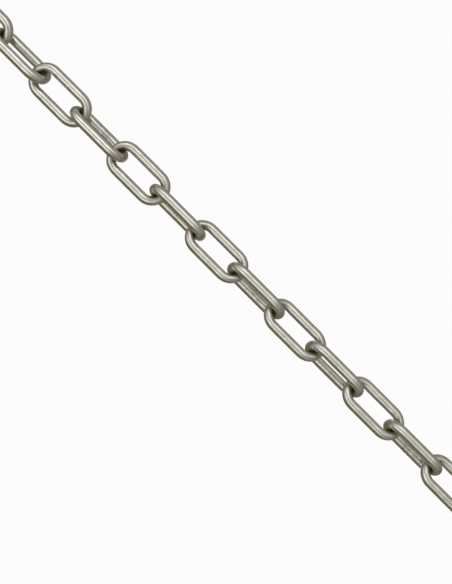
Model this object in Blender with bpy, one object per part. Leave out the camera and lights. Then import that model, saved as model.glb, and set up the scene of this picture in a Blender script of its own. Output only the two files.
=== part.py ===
"""One metre of welded straight-link steel chain, lying stretched out on a level floor.

The chain runs along X. Every link is one closed loop of round wire: two straight side bars
joined by two half-round bows. Each link crosses the last one at about a right angle, with a
slow twist along the chain. Each link swings on the right-hand bow of the link before it.
Metres, +Z up, the origin on the floor under the middle of the chain.
"""

import math

import bmesh
import bpy
from mathutils import Matrix, Vector

# Wire and link
WIRE_DIAMETER = 0.006
PITCH = 0.033  # inside length of a link
OUTSIDE_WIDTH = 0.0225
CLEARANCE = 0.0003  # between two links where one bears on the next

# Chain
LINK_COUNT = 30
BROAD_ROLL = 51.0  # degrees from level, about X, of the odd links' side bars
CROSSING = 90.0  # degrees from each link to the next in a chain with no twist

# How far each link is turned from that even crossing, in degrees
TWISTED_LINKS = (14, 28, 13, 19, 4, -11, -20, -20, -28, -23, -26, -18, -22)
FIRST_TWISTED = 9  # the link that the first of these belongs to
EVEN_TWIST = -6.0  # where the twist settles towards both ends: links at 45 degrees to the floor
TWIST_FADE = 0.6  # share of the remaining twist that each further link keeps

# Facets
WIRE_SIDES = 12
BOW_SEGMENTS = 8

# Finish: bright drawn steel
STEEL_COLOUR = (0.52, 0.50, 0.46, 1.0)
STEEL_ROUGHNESS = 0.32
STEEL_METALLIC = 1.0

WIRE_RADIUS = WIRE_DIAMETER / 2
BOW_RADIUS = (OUTSIDE_WIDTH - WIRE_DIAMETER) / 2  # of the wire's centre line
HALF_BAR = PITCH / 2 - (BOW_RADIUS - WIRE_RADIUS)  # half the length of a straight side bar
CROWN = PITCH / 2 + WIRE_RADIUS  # from a link's middle to the wire's centre at its bow
SPACING = PITCH - CLEARANCE  # from one link to the next


def clear_scene():
    for obj in list(bpy.data.objects):
        bpy.data.objects.remove(obj, do_unlink=True)


def twist(number):
    """Degrees by which a link is turned from the even crossing. Links count from 1."""
    last_twisted = FIRST_TWISTED + len(TWISTED_LINKS) - 1
    nearest = min(max(number, FIRST_TWISTED), last_twisted)
    seen = TWISTED_LINKS[nearest - FIRST_TWISTED]
    return EVEN_TWIST + (seen - EVEN_TWIST) * TWIST_FADE ** abs(number - nearest)


def roll(number):
    """A link's turn about the chain's axis, in radians: 0 has its side bars level."""
    crossing = CROSSING if number % 2 == 0 else 0.0
    return math.radians(BROAD_ROLL + crossing + twist(number))


def link_outline():
    """Points on the wire's centre line, each with the direction outwards from the loop."""
    points = []
    for side in (1, -1):
        centre = Vector((side * HALF_BAR, 0, 0))
        for step in range(BOW_SEGMENTS + 1):
            angle = math.pi * (step / BOW_SEGMENTS - 0.5)
            outwards = Vector((side * math.cos(angle), side * math.sin(angle), 0))
            points.append((centre + BOW_RADIUS * outwards, outwards))
    return points


def link_mesh():
    """A closed loop of wire in the XY plane, long along X, with its middle at the origin."""
    bm = bmesh.new()
    rings = []
    for point, outwards in link_outline():
        ring = []
        for side in range(WIRE_SIDES):
            angle = 2 * math.pi * side / WIRE_SIDES
            offset = outwards * math.cos(angle) + Vector((0, 0, math.sin(angle)))
            ring.append(bm.verts.new(point + WIRE_RADIUS * offset))
        rings.append(ring)
    for ring, following in zip(rings, rings[1:] + rings[:1]):
        for side in range(WIRE_SIDES):
            across = (side + 1) % WIRE_SIDES
            bm.faces.new((ring[side], following[side], following[across], ring[across]))
    bmesh.ops.recalc_face_normals(bm, faces=bm.faces)
    mesh = bpy.data.meshes.new("link")
    bm.to_mesh(mesh)
    bm.free()
    mesh.shade_smooth()
    return mesh


def steel(name):
    material = bpy.data.materials.new(name)
    material.use_nodes = True
    shader = material.node_tree.nodes["Principled BSDF"]
    shader.inputs["Base Color"].default_value = STEEL_COLOUR
    shader.inputs["Roughness"].default_value = STEEL_ROUGHNESS
    shader.inputs["Metallic"].default_value = STEEL_METALLIC
    return material


def axis_height():
    """How high the chain's axis lies when its tallest link stands on the floor."""
    tallest = max(abs(math.sin(roll(number))) for number in range(1, LINK_COUNT + 1))
    return BOW_RADIUS * tallest + WIRE_RADIUS


def link_place(number):
    """Where a link's middle lies and how the link is turned: its own X runs along the chain."""
    x = (number - (LINK_COUNT + 1) / 2) * SPACING
    return Matrix.Translation((x, 0, axis_height())) @ Matrix.Rotation(roll(number), 4, "X")


def swing_place(number):
    """Where a link swings: on the right-hand bow of the link before, about that link's own Y."""
    return link_place(number - 1) @ Matrix.Translation((CROWN, 0, 0))


def seat(obj, place, parent, parent_place):
    """Puts an object at a place in the world, under a parent that is at parent_place."""
    bpy.context.collection.objects.link(obj)
    offset = parent_place.inverted() @ place
    obj.parent = parent
    obj.location = offset.to_translation()
    obj.rotation_euler = offset.to_euler()


def build_chain():
    """Each link hangs under the empty that it swings about, and so does every later empty."""
    mesh = link_mesh()
    parent = None
    parent_place = Matrix.Identity(4)
    for number in range(1, LINK_COUNT + 1):
        if number > 1:
            swing = bpy.data.objects.new(f"swing_{number:02d}", None)
            swing.empty_display_size = WIRE_DIAMETER
            seat(swing, swing_place(number), parent, parent_place)
            parent = swing
            parent_place = swing_place(number)
        link = bpy.data.objects.new(f"link_{number:02d}", mesh.copy())
        link.data.materials.append(steel(f"steel_{number:02d}"))
        seat(link, link_place(number), parent, parent_place)
    bpy.data.meshes.remove(mesh)


clear_scene()
build_chain()
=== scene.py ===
"""The look of one metre of straight-link steel chain: satin wire links, their light and camera.

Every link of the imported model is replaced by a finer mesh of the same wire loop, in the same
place. Metres throughout, angles in degrees where a name doesn't say otherwise.
"""

import math

import bmesh
import bpy
from mathutils import Matrix, Vector, noise


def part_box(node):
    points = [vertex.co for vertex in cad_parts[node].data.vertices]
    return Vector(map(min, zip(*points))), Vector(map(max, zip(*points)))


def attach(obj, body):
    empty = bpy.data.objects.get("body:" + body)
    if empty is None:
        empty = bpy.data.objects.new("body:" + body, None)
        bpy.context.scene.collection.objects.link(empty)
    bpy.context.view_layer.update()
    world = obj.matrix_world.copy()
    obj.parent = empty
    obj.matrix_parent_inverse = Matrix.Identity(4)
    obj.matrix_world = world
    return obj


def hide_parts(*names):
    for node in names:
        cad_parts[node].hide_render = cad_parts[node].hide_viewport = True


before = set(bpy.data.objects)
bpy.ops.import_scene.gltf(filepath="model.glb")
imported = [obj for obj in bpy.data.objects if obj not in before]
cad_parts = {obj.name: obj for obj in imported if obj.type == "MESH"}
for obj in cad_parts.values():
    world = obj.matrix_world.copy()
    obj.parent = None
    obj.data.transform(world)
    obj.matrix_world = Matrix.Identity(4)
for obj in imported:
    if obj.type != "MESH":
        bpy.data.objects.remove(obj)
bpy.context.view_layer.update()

# The link, as the solids have it
WIRE_DIAMETER = 0.006
PITCH = 0.033  # inside length
OUTSIDE_WIDTH = 0.0225

# The link as it was bent and welded from drawn wire
DRAWN_RADIUS = 0.00297
OUTER_WEAR = 0.00005  # how far the wire is worn down on the outside of the loop
BEND_FLATTENING = 0.00008  # how far the wire is squeezed where it is bent
WAVINESS = 0.00004  # slow unevenness of the drawn wire
WAVE_LENGTH = 0.007
WELD_LENGTH = 0.0030
WELD_HEIGHT = 0.00005
WELD_GROOVE = 0.00007
FAINT_WELD = 0.3  # share of the weld's marks that show on most links
PLAIN_WELD_STEP = 4  # every so many links the marks show in full

# Mesh
RINGS_ON_BAR = 44
RINGS_ON_BOW = 52
WIRE_SIDES = 40

# Camera: the photograph's frame, and where the middle of link 15 shows in it
IMAGE_WIDTH = 452
IMAGE_HEIGHT = 584
MARKED_LINK = "link_15"
MARKED_PIXEL = (216.7, 251.7)
METRES_PER_PIXEL = 0.00059057
CAMERA_ELEVATION = 39.0
CAMERA_DISTANCE = 0.6
SENSOR = 36.0

# Light: a dim room, and long soft boxes so far away that each is given by directions alone. Each
# has its turn across the chain from the camera's line of sight, its lean along the chain from
# there, how far it fades out across and along, all in degrees, and its brightness.
SOFT_BOXES = {
    "upper": (31.5, -22.0, 18.0, 46.0, 1.54),
    "lower": (-34.0, -22.0, 18.0, 46.0, 1.31),
    "overhead": (95.0, -10.0, 40.0, 60.0, 0.11),
    "behind": (178.0, 0.0, 15.0, 26.0, 0.80),
}
ROOM_IN_FRONT = (0.278, 0.262, 0.220)  # the side that the camera is on
ROOM_BEHIND = (0.18, 0.156, 0.096)
ROOM_BELOW = (0.162, 0.137, 0.078)
PAPER_COLOUR = (0.973, 0.973, 0.973)
DOME_RADIUS = 6.0  # holds the camera of every view, and lies within its clip distance
FLOOR_LEVEL = -1.1  # below the lowest place that the chain can swing to

WIRE_RADIUS = WIRE_DIAMETER / 2
BOW_RADIUS = (OUTSIDE_WIDTH - WIRE_DIAMETER) / 2
HALF_BAR = PITCH / 2 - (BOW_RADIUS - WIRE_RADIUS)
BOW_LENGTH = math.pi * BOW_RADIUS
WIRE_LENGTH = 2 * (2 * HALF_BAR + BOW_LENGTH)


def smooth(low, high, value):
    """0 up to low, 1 from high on, and an even curve between."""
    share = min(max((value - low) / (high - low), 0.0), 1.0)
    return share * share * (3 - 2 * share)


def hump(distance, width):
    return math.exp(-((distance / width) ** 2))


# The wire's path


def wire_stations():
    """Places along the wire: (distance, centre, outwards), from the weld and back to it.

    The link lies in the XY plane, long along X.
    """
    stations = []
    half = HALF_BAR / (RINGS_ON_BAR / 2)
    for step in range(RINGS_ON_BAR // 2):
        x = step * half
        stations.append((x, Vector((x, BOW_RADIUS, 0)), Vector((0, 1, 0))))
    stations += bow_stations(1, HALF_BAR)
    for step in range(RINGS_ON_BAR):
        x = HALF_BAR - step * half
        distance = HALF_BAR + BOW_LENGTH + step * half
        stations.append((distance, Vector((x, -BOW_RADIUS, 0)), Vector((0, -1, 0))))
    stations += bow_stations(-1, 3 * HALF_BAR + BOW_LENGTH)
    for step in range(RINGS_ON_BAR // 2):
        x = -HALF_BAR + step * half
        distance = 3 * HALF_BAR + 2 * BOW_LENGTH + step * half
        stations.append((distance, Vector((x, BOW_RADIUS, 0)), Vector((0, 1, 0))))
    return stations


def bow_stations(side, start):
    """The stations round one bow: side is 1 for the +X bow, which runs from +Y to -Y."""
    stations = []
    for step in range(RINGS_ON_BOW):
        angle = math.pi * (0.5 - step / RINGS_ON_BOW)
        outwards = Vector((side * math.cos(angle), side * math.sin(angle), 0))
        centre = Vector((side * HALF_BAR, 0, 0)) + BOW_RADIUS * outwards
        stations.append((start + BOW_LENGTH * step / RINGS_ON_BOW, centre, outwards))
    return stations


def weld_distance(distance):
    return min(distance, WIRE_LENGTH - distance)


def bow_share(centre):
    """0 on a side bar, 1 well into a bow."""
    return smooth(-0.002, 0.003, abs(centre.x) - HALF_BAR)


def weld_share(number):
    return 1.0 if number % PLAIN_WELD_STEP == 0 else FAINT_WELD


def wire_radius(distance, centre, angle, seed):
    """The wire's radius at a place along it and round it: angle 0 faces out of the loop."""
    squeeze = BEND_FLATTENING * bow_share(centre) * math.cos(angle) ** 2
    squeeze += OUTER_WEAR * smooth(0.4, 0.9, math.cos(angle))
    turn = 2 * math.pi * distance / WIRE_LENGTH
    loop = WIRE_LENGTH / WAVE_LENGTH / (2 * math.pi)
    place = Vector((loop * math.cos(turn), loop * math.sin(turn), 0.0))
    place += Vector((0.4 * math.cos(angle), 0.0, 0.8 * math.sin(angle) + 13.7 * seed))
    wave = WAVINESS * noise.noise(place)
    along = weld_distance(distance)
    weld = WELD_HEIGHT * hump(along, WELD_LENGTH / 3)
    weld -= WELD_GROOVE * hump(along - WELD_LENGTH * 0.62, WELD_LENGTH / 5)
    return DRAWN_RADIUS - squeeze + wave + weld * weld_share(seed)


def link_mesh(name, seed):
    """One link in the XY plane, with the wire's own coordinates stored for its material."""
    bm = bmesh.new()
    wire = bm.loops.layers.float_vector.new("wire")
    marks_and_shade = bm.loops.layers.float_vector.new("marks_and_shade")
    rings = []
    stations = wire_stations()
    for distance, centre, outwards in stations:
        ring = []
        for side in range(WIRE_SIDES):
            angle = 2 * math.pi * side / WIRE_SIDES
            radius = wire_radius(distance, centre, angle, seed)
            offset = outwards * math.cos(angle) + Vector((0, 0, math.sin(angle)))
            ring.append(bm.verts.new(centre + radius * offset))
        rings.append(ring)
    for index, ring in enumerate(rings):
        following = rings[(index + 1) % len(rings)]
        here = stations[index]
        there = stations[(index + 1) % len(rings)]
        end = there[0] if index + 1 < len(rings) else WIRE_LENGTH
        for side in range(WIRE_SIDES):
            across = (side + 1) % WIRE_SIDES
            face = bm.faces.new((ring[side], ring[across], following[across], following[side]))
            face.smooth = True
            corners = ((here[0], here[1], side), (here[0], here[1], side + 1),
                       (end, there[1], side + 1), (end, there[1], side))
            for loop, (distance, centre, step) in zip(face.loops, corners):
                angle = 2 * math.pi * step / WIRE_SIDES
                loop[wire] = wire_place(distance, angle, seed)
                loop[marks_and_shade] = wire_marks(distance, centre, angle, seed)
    bmesh.ops.recalc_face_normals(bm, faces=bm.faces)
    mesh = bpy.data.meshes.new(name)
    bm.to_mesh(mesh)
    bm.free()
    return mesh


def wire_place(distance, angle, seed):
    """The wire pulled straight: along it, and across it either way. Each link has its own stretch."""
    x = distance + 2 * WIRE_LENGTH * seed
    return Vector((x, WIRE_RADIUS * math.cos(angle), WIRE_RADIUS * math.sin(angle)))


def wire_marks(distance, centre, angle, seed):
    """What happened to the wire here, each from 0 to 1: bent, painted contact shade on the inside of the bow where the
    next link's wire passes, welded.
    """
    bent = bow_share(centre)
    crown = HALF_BAR + BOW_RADIUS - abs(centre.x)
    inside = smooth(-0.1, 0.6, -math.cos(angle))
    # Painted contact shade: the inside of each bow near its crown, where the next link's wire crosses it and shades
    # it.
    contact_shade = inside * (1 - smooth(0.0015, 0.0070, crown))
    welded = 1 - smooth(WELD_LENGTH, 3.5 * WELD_LENGTH, weld_distance(distance))
    return Vector((bent, contact_shade, welded * weld_share(seed)))


# Materials


class Nodes:
    """A short hand for building a node tree: each call adds one node and returns its output."""

    def __init__(self, tree):
        self.tree = tree

    def add(self, kind, **settings):
        node = self.tree.nodes.new(kind)
        for key, value in settings.items():
            setattr(node, key, value)
        return node

    def feed(self, socket, value):
        if isinstance(value, bpy.types.NodeSocket):
            self.tree.links.new(value, socket)
        else:
            socket.default_value = value

    def attribute(self, name):
        return self.add("ShaderNodeAttribute", attribute_name=name).outputs["Vector"]

    def parts(self, vector):
        node = self.add("ShaderNodeSeparateXYZ")
        self.feed(node.inputs[0], vector)
        return node.outputs[0], node.outputs[1], node.outputs[2]

    def stretch(self, vector, scale):
        node = self.add("ShaderNodeVectorMath", operation="MULTIPLY")
        self.feed(node.inputs[0], vector)
        node.inputs[1].default_value = scale
        return node.outputs[0]

    def dot(self, vector, other):
        node = self.add("ShaderNodeVectorMath", operation="DOT_PRODUCT")
        self.feed(node.inputs[0], vector)
        node.inputs[1].default_value = other
        return node.outputs["Value"]

    def noise(self, vector, scale, detail=2.0, rough=0.5, distortion=0.0):
        node = self.add("ShaderNodeTexNoise")
        self.feed(node.inputs["Vector"], vector)
        node.inputs["Scale"].default_value = scale
        node.inputs["Detail"].default_value = detail
        node.inputs["Roughness"].default_value = rough
        node.inputs["Distortion"].default_value = distortion
        return node.outputs["Fac"]

    def spots(self, vector, scale, randomness=1.0):
        node = self.add("ShaderNodeTexVoronoi")
        self.feed(node.inputs["Vector"], vector)
        node.inputs["Scale"].default_value = scale
        node.inputs["Randomness"].default_value = randomness
        return node.outputs["Distance"]

    def ramp(self, value, low, high, start=0.0, end=1.0):
        """value from low to high becomes start to end, held beyond them."""
        node = self.add("ShaderNodeMapRange", clamp=True)
        self.feed(node.inputs["Value"], value)
        node.inputs["From Min"].default_value = low
        node.inputs["From Max"].default_value = high
        node.inputs["To Min"].default_value = start
        node.inputs["To Max"].default_value = end
        return node.outputs["Result"]

    def math(self, operation, a, b=0.0):
        node = self.add("ShaderNodeMath", operation=operation)
        self.feed(node.inputs[0], a)
        self.feed(node.inputs[1], b)
        return node.outputs[0]

    def mix(self, share, a, b):
        node = self.add("ShaderNodeMix", data_type="RGBA")
        self.feed(node.inputs[0], share)
        self.feed(node.inputs[6], a)
        self.feed(node.inputs[7], b)
        return node.outputs[2]

    def bump(self, height, distance, strength=1.0, normal=None):
        node = self.add("ShaderNodeBump")
        self.feed(node.inputs["Height"], height)
        node.inputs["Distance"].default_value = distance
        node.inputs["Strength"].default_value = strength
        if normal is not None:
            self.feed(node.inputs["Normal"], normal)
        return node.outputs["Normal"]


STEEL = (0.735, 0.728, 0.705, 1.0)
DULL_STEEL = (0.47, 0.455, 0.42, 1.0)
# Painted contact shade: the olive-brown dark laid on the inside of the bows, standing in for the shadow that the next
# link casts there.
CONTACT_SHADE = (0.130, 0.088, 0.010, 1.0)


def steel_material():
    material = bpy.data.materials.new("satin steel wire")
    material.use_nodes = True
    nodes = Nodes(material.node_tree)
    shader = material.node_tree.nodes["Principled BSDF"]
    wire = nodes.attribute("wire")
    bent, contact_shade, welded = nodes.parts(nodes.attribute("marks_and_shade"))

    drawn = nodes.noise(nodes.stretch(wire, (0.12, 1.0, 1.0)), 1300.0, 2.0, 0.5)
    waver = nodes.noise(nodes.stretch(wire, (0.5, 1.0, 1.0)), 420.0, 1.0, 0.5)
    patches = nodes.noise(wire, 420.0, 3.0, 0.6)
    grain = nodes.noise(wire, 1500.0, 2.0, 0.5)
    blotches = nodes.noise(nodes.stretch(wire, (0.5, 1.0, 1.0)), 900.0, 2.0, 0.6)
    pits = nodes.ramp(nodes.spots(wire, 330.0), 0.03, 0.09, 1.0, 0.0)

    dull = nodes.math("MULTIPLY", bent, nodes.ramp(patches, 0.35, 0.62, 0.0, 0.25))
    dull = nodes.math("ADD", dull, nodes.math("MULTIPLY", welded, nodes.ramp(blotches, 0.4, 0.6, 0.0, 0.9)))
    dull = nodes.math("ADD", dull, nodes.ramp(drawn, 0.40, 0.75, 0.0, 0.30))
    dull = nodes.math("ADD", dull, nodes.math("MULTIPLY", pits, 0.5))
    colour = nodes.mix(nodes.ramp(dull, 0.0, 1.0), STEEL, DULL_STEEL)
    # Painted shade: towards the bow crowns, the colour darkens to the contact shade's olive brown.
    colour = nodes.mix(contact_shade, colour, CONTACT_SHADE)
    nodes.feed(shader.inputs["Base Color"], colour)

    rough = nodes.ramp(drawn, 0.3, 0.7, 0.24, 0.27)
    rough = nodes.math("ADD", rough, nodes.math("MULTIPLY", bent, 0.02))
    rough = nodes.math("ADD", rough, nodes.math("MULTIPLY", welded, 0.08))
    # Where the contact shade is painted, the wire is also made rougher and, below, less metallic, so that it stays
    # dark.
    rough = nodes.math("ADD", rough, nodes.math("MULTIPLY", contact_shade, 0.12))
    nodes.feed(shader.inputs["Roughness"], rough)
    nodes.feed(shader.inputs["Metallic"], nodes.ramp(contact_shade, 0.0, 1.0, 1.0, 0.3))

    normal = nodes.bump(waver, 0.000140)
    normal = nodes.bump(drawn, 0.000030, normal=normal)
    normal = nodes.bump(grain, 0.000018, normal=normal)
    normal = nodes.bump(nodes.math("MULTIPLY", blotches, welded), 0.000060, normal=normal)
    normal = nodes.bump(pits, -0.000030, normal=normal)
    nodes.feed(shader.inputs["Normal"], normal)
    return material


def glow_material(name, colour):
    material = bpy.data.materials.new(name)
    material.use_nodes = True
    tree = material.node_tree
    tree.nodes.clear()
    glow = tree.nodes.new("ShaderNodeEmission")
    glow.inputs["Color"].default_value = (*colour, 1.0)
    output = tree.nodes.new("ShaderNodeOutputMaterial")
    tree.links.new(glow.outputs[0], output.inputs["Surface"])
    return material


# Links


def node_middle(node):
    low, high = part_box(node)
    return (Vector(low) + Vector(high)) / 2


def node_roll(node):
    """The turn about X of a link's side bars, from how its solid's vertices spread in Y and Z."""
    middle = node_middle(node)
    yy = zz = yz = 0.0
    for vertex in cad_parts[node].data.vertices:
        y = vertex.co.y - middle.y
        z = vertex.co.z - middle.z
        yy += y * y
        zz += z * z
        yz += y * z
    return 0.5 * math.atan2(2 * yz, yy - zz)


def add_link(number, node, material):
    welded_side = 0.0 if number % 2 == 0 else math.pi
    mesh = link_mesh(f"wire_{node}", number)
    place = Matrix.Translation(node_middle(node))
    place @= Matrix.Rotation(node_roll(node) + welded_side, 4, "X")
    mesh.transform(place)
    mesh.materials.append(material)
    link = bpy.data.objects.new(f"wire_{node}", mesh)
    bpy.context.collection.objects.link(link)
    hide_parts(node)
    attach(link, node)


def add_chain():
    material = steel_material()
    for number, node in enumerate(sorted(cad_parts), 1):
        add_link(number, node, material)


# Room, light and camera


def sight_frame():
    """The photograph's axes: along the chain, up across it, and towards the camera."""
    rise = math.radians(CAMERA_ELEVATION)
    along = Vector((1, 0, 0))
    across = Vector((0, math.sin(rise), math.cos(rise)))
    towards = Vector((0, -math.cos(rise), math.sin(rise)))
    return along, across, towards


def add_camera():
    along, across, towards = sight_frame()
    right = (along + across).normalized()
    up = (across - along).normalized()
    off_right = (IMAGE_WIDTH / 2 - MARKED_PIXEL[0]) * METRES_PER_PIXEL
    off_down = (IMAGE_HEIGHT / 2 - MARKED_PIXEL[1]) * METRES_PER_PIXEL
    target = node_middle(MARKED_LINK) + off_right * right - off_down * up
    data = bpy.data.cameras.new("camera")
    data.sensor_width = SENSOR
    data.lens = SENSOR * CAMERA_DISTANCE / (IMAGE_HEIGHT * METRES_PER_PIXEL)
    data.clip_start = 0.01
    camera = bpy.data.objects.new("camera", data)
    bpy.context.collection.objects.link(camera)
    turn = Matrix((right, up, towards)).transposed().to_4x4()
    camera.matrix_world = Matrix.Translation(target + CAMERA_DISTANCE * towards) @ turn
    bpy.context.scene.camera = camera


def add_paper():
    """A plain pale floor and backdrop, seen by the camera and left out of the steel's reflections."""
    material = glow_material("pale paper", PAPER_COLOUR)
    bm = bmesh.new()
    bmesh.ops.create_grid(bm, x_segments=1, y_segments=1, size=DOME_RADIUS)
    floor = stage_piece("floor", bm, material)
    floor.location.z = FLOOR_LEVEL
    bm = bmesh.new()
    bmesh.ops.create_icosphere(bm, subdivisions=3, radius=DOME_RADIUS)
    stage_piece("backdrop", bm, material)


def stage_piece(name, bm, material):
    mesh = bpy.data.meshes.new(name)
    bm.to_mesh(mesh)
    bm.free()
    mesh.materials.append(material)
    piece = bpy.data.objects.new(name, mesh)
    bpy.context.collection.objects.link(piece)
    piece.visible_diffuse = False
    piece.visible_glossy = False
    piece.visible_shadow = False
    return piece


def fade(nodes, angle, middle, width):
    """1 where an angle is at the middle, fading out evenly on both sides."""
    away = nodes.math("COSINE", nodes.math("SUBTRACT", angle, math.radians(middle)))
    steepness = 2 / math.radians(width) ** 2
    return nodes.math("EXPONENT", nodes.math("MULTIPLY", nodes.math("SUBTRACT", away, 1.0), steepness))


def set_room():
    """The room and its soft boxes, by direction: paler on the side that the camera looks from."""
    along, across, towards = sight_frame()
    world = bpy.data.worlds.new("room")
    world.use_nodes = True
    nodes = Nodes(world.node_tree)
    direction = nodes.add("ShaderNodeTexCoord").outputs["Generated"]
    facing = nodes.dot(direction, towards)
    turn = nodes.math("ARCTAN2", nodes.dot(direction, across), facing)
    lean = nodes.math("ARCSINE", nodes.dot(direction, along))
    light = 0.0
    for box_turn, box_lean, fade_across, fade_along, brightness in SOFT_BOXES.values():
        box = nodes.math("MULTIPLY", fade(nodes, turn, box_turn, fade_across), fade(nodes, lean, box_lean, fade_along))
        light = nodes.math("ADD", light, nodes.math("MULTIPLY", box, brightness))
    colour = nodes.mix(nodes.ramp(facing, -0.8, 0.1), (*ROOM_BEHIND, 1.0), (*ROOM_IN_FRONT, 1.0))
    colour = nodes.mix(nodes.ramp(nodes.dot(direction, across), -1.0, -0.5), (*ROOM_BELOW, 1.0), colour)
    lit = nodes.add("ShaderNodeVectorMath", operation="ADD")
    nodes.feed(lit.inputs[0], colour)
    nodes.feed(lit.inputs[1], light)
    nodes.feed(world.node_tree.nodes["Background"].inputs["Color"], lit.outputs[0])
    bpy.context.scene.world = world
    bpy.context.scene.view_settings.view_transform = "Standard"


set_room()
add_camera()
add_paper()
add_chain()
